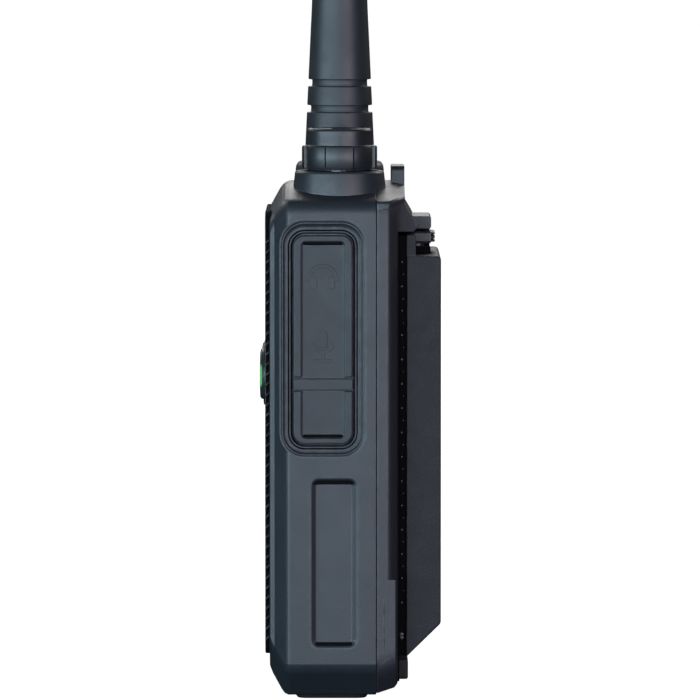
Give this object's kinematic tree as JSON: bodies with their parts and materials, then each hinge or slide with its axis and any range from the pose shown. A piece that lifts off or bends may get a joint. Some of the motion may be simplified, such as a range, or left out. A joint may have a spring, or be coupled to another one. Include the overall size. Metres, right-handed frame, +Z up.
{
  "type": "portable radio",
  "caption": "Handheld two-way radio with keypad, display, talk button, volume knob, screw-on antenna, rubber jack cover and a latched slide-off battery pack.",
  "frame": {"origin": "on the underside of the rubber foot, in the middle across the width, 17.6 mm behind the shell's front plane", "axes": "+Z up along the antenna, -Y towards the keypad, +Y towards the battery, +X towards the jack cover and volume knob side, -X towards the talk button"},
  "size_m": [0.0588, 0.0393, 0.254],
  "materials": {
    "body_plastic": "satin moulded plastic with a fine spark texture, dark blue grey",
    "chassis_casting": "die-cast, painted dark blue grey to match the shell",
    "trim_plastic": "satin near-black plastic",
    "pack_plastic": "fine matt texture, dark grey",
    "soft_rubber": "matt moulded rubber, dark blue grey",
    "antenna_rubber": "satin moulded rubber",
    "foot_rubber": "matt rubber",
    "key_rubber": "satin keys with light legends",
    "green_key": "satin green",
    "lens": "clear hard window",
    "display": "liquid-crystal panel",
    "circuit": "green lacquered board",
    "steel": "plated steel",
    "speaker_metal": "black frame, cone and magnet",
    "brass": "gold-plated brass",
    "black_plastic": "black moulded",
    "cell_wrap": "prismatic lithium-ion cell in a blue film"
  },
  "bodies": {
    "radio_body": {"front_shell": "body_plastic", "chassis": "chassis_casting", "front_panel": "trim_plastic", "nav_bezel": "trim_plastic", "display_lens": "lens", "display_module": "display", "keypad_mat": "soft_rubber", "circuit_board": "circuit", "rf_shield": "steel", "speaker": "speaker_metal", "microphone_capsule": "steel", "status_led_lens": "lens", "volume_potentiometer": "steel", "antenna_socket": "brass", "cover_strap": "soft_rubber", "jack_block": "black_plastic", "usb_port": "steel", "button_seal": "soft_rubber", "switch_board": "circuit", "base_foot": "foot_rubber", "chassis_seal": "soft_rubber", "contact_spring_left": "brass", "contact_spring_right": "brass", "chassis_screw_1": "steel", "chassis_screw_2": "steel", "chassis_screw_3": "steel", "chassis_screw_4": "steel"},
    "volume_knob": {"volume_knob": "trim_plastic"},
    "antenna_core": {"antenna_radiator": "steel"},
    "antenna": {"antenna_sleeve": "antenna_rubber", "antenna_connector": "brass"},
    "jack_flap_upper": {"jack_flap_upper": "soft_rubber"},
    "jack_flap_lower": {"jack_flap_lower": "soft_rubber"},
    "ptt_button": {"ptt_button": "soft_rubber"},
    "side_key_upper": {"side_key_upper": "soft_rubber"},
    "side_key_lower": {"side_key_lower": "soft_rubber"},
    "battery": {"battery_case": "pack_plastic", "battery_inner_plate": "pack_plastic", "battery_cell_left": "cell_wrap", "battery_cell_right": "cell_wrap", "contact_pad_left": "brass", "contact_pad_right": "brass", "latch_spring": "steel"},
    "battery_latch": {"battery_latch": "trim_plastic"},
    "key_1": {"key_1": "key_rubber"},
    "key_2": {"key_2": "key_rubber"},
    "key_3": {"key_3": "key_rubber"},
    "key_4": {"key_4": "key_rubber"},
    "key_5": {"key_5": "key_rubber"},
    "key_6": {"key_6": "key_rubber"},
    "key_7": {"key_7": "key_rubber"},
    "key_8": {"key_8": "key_rubber"},
    "key_9": {"key_9": "key_rubber"},
    "key_star": {"key_star": "key_rubber"},
    "key_0": {"key_0": "key_rubber"},
    "key_hash": {"key_hash": "key_rubber"},
    "key_up": {"key_up": "key_rubber"},
    "key_down": {"key_down": "key_rubber"},
    "key_exit": {"key_exit": "key_rubber"},
    "key_confirm": {"key_confirm": "green_key"}
  },
  "joints": [
    {"name": "volume_turn", "type": "hinge", "parent": "radio_body", "child": "volume_knob", "pos_m": [0.014, -0.00247, 0.118], "axis": [0, 0, 1], "range_deg": [-270, 0]},
    {"name": "antenna_rise", "type": "slide", "parent": "radio_body", "child": "antenna_core", "axis": [0, 0, 1], "range_m": [0, 0.00282]},
    {"name": "antenna_turn", "type": "hinge", "parent": "antenna_core", "child": "antenna", "pos_m": [-0.014, -0.00247, 0.118], "axis": [0, 0, 1], "range_deg": [0, 1440]},
    {"name": "jack_flap_upper_open", "type": "hinge", "parent": "radio_body", "child": "jack_flap_upper", "pos_m": [0.0287, -0.00605, 0.0701], "axis": [0, 1, 0], "range_deg": [0, 90], "stiffness_Nm_per_rad": 0.002},
    {"name": "jack_flap_lower_open", "type": "hinge", "parent": "radio_body", "child": "jack_flap_lower", "pos_m": [0.0287, -0.00605, 0.0674], "axis": [0, -1, 0], "range_deg": [0, 90], "stiffness_Nm_per_rad": 0.002},
    {"name": "ptt_press", "type": "slide", "parent": "radio_body", "child": "ptt_button", "axis": [1, 0, 0], "range_m": [0, 0.001], "stiffness_N_per_m": 2500},
    {"name": "side_key_upper_press", "type": "slide", "parent": "radio_body", "child": "side_key_upper", "axis": [1, 0, 0], "range_m": [0, 0.0008], "stiffness_N_per_m": 2000},
    {"name": "side_key_lower_press", "type": "slide", "parent": "radio_body", "child": "side_key_lower", "axis": [1, 0, 0], "range_m": [0, 0.0008], "stiffness_N_per_m": 2000},
    {"name": "battery_release", "type": "slide", "parent": "radio_body", "child": "battery", "axis": [0, 1, 0], "range_m": [0, 0.03]},
    {"name": "latch_press", "type": "slide", "parent": "battery", "child": "battery_latch", "axis": [0, 0, -1], "range_m": [0, 0.0013], "stiffness_N_per_m": 800, "deforming": ["latch_spring"]},
    {"name": "key_1_press", "type": "slide", "parent": "radio_body", "child": "key_1", "axis": [0, 1, 0], "range_m": [0, 0.0006], "stiffness_N_per_m": 1500},
    {"name": "key_2_press", "type": "slide", "parent": "radio_body", "child": "key_2", "axis": [0, 1, 0], "range_m": [0, 0.0006], "stiffness_N_per_m": 1500},
    {"name": "key_3_press", "type": "slide", "parent": "radio_body", "child": "key_3", "axis": [0, 1, 0], "range_m": [0, 0.0006], "stiffness_N_per_m": 1500},
    {"name": "key_4_press", "type": "slide", "parent": "radio_body", "child": "key_4", "axis": [0, 1, 0], "range_m": [0, 0.0006], "stiffness_N_per_m": 1500},
    {"name": "key_5_press", "type": "slide", "parent": "radio_body", "child": "key_5", "axis": [0, 1, 0], "range_m": [0, 0.0006], "stiffness_N_per_m": 1500},
    {"name": "key_6_press", "type": "slide", "parent": "radio_body", "child": "key_6", "axis": [0, 1, 0], "range_m": [0, 0.0006], "stiffness_N_per_m": 1500},
    {"name": "key_7_press", "type": "slide", "parent": "radio_body", "child": "key_7", "axis": [0, 1, 0], "range_m": [0, 0.0006], "stiffness_N_per_m": 1500},
    {"name": "key_8_press", "type": "slide", "parent": "radio_body", "child": "key_8", "axis": [0, 1, 0], "range_m": [0, 0.0006], "stiffness_N_per_m": 1500},
    {"name": "key_9_press", "type": "slide", "parent": "radio_body", "child": "key_9", "axis": [0, 1, 0], "range_m": [0, 0.0006], "stiffness_N_per_m": 1500},
    {"name": "key_star_press", "type": "slide", "parent": "radio_body", "child": "key_star", "axis": [0, 1, 0], "range_m": [0, 0.0006], "stiffness_N_per_m": 1500},
    {"name": "key_0_press", "type": "slide", "parent": "radio_body", "child": "key_0", "axis": [0, 1, 0], "range_m": [0, 0.0006], "stiffness_N_per_m": 1500},
    {"name": "key_hash_press", "type": "slide", "parent": "radio_body", "child": "key_hash", "axis": [0, 1, 0], "range_m": [0, 0.0006], "stiffness_N_per_m": 1500},
    {"name": "key_up_press", "type": "slide", "parent": "radio_body", "child": "key_up", "axis": [0, 1, 0], "range_m": [0, 0.0006], "stiffness_N_per_m": 1500},
    {"name": "key_down_press", "type": "slide", "parent": "radio_body", "child": "key_down", "axis": [0, 1, 0], "range_m": [0, 0.0006], "stiffness_N_per_m": 1500},
    {"name": "key_exit_press", "type": "slide", "parent": "radio_body", "child": "key_exit", "axis": [0, 1, 0], "range_m": [0, 0.0006], "stiffness_N_per_m": 1500},
    {"name": "key_confirm_press", "type": "slide", "parent": "radio_body", "child": "key_confirm", "axis": [0, 1, 0], "range_m": [0, 0.0006], "stiffness_N_per_m": 1500}
  ],
  "couplings": [
    {"joint": "antenna_turn", "follows": "antenna_rise", "rad_per_m": 8904.7}
  ]
}
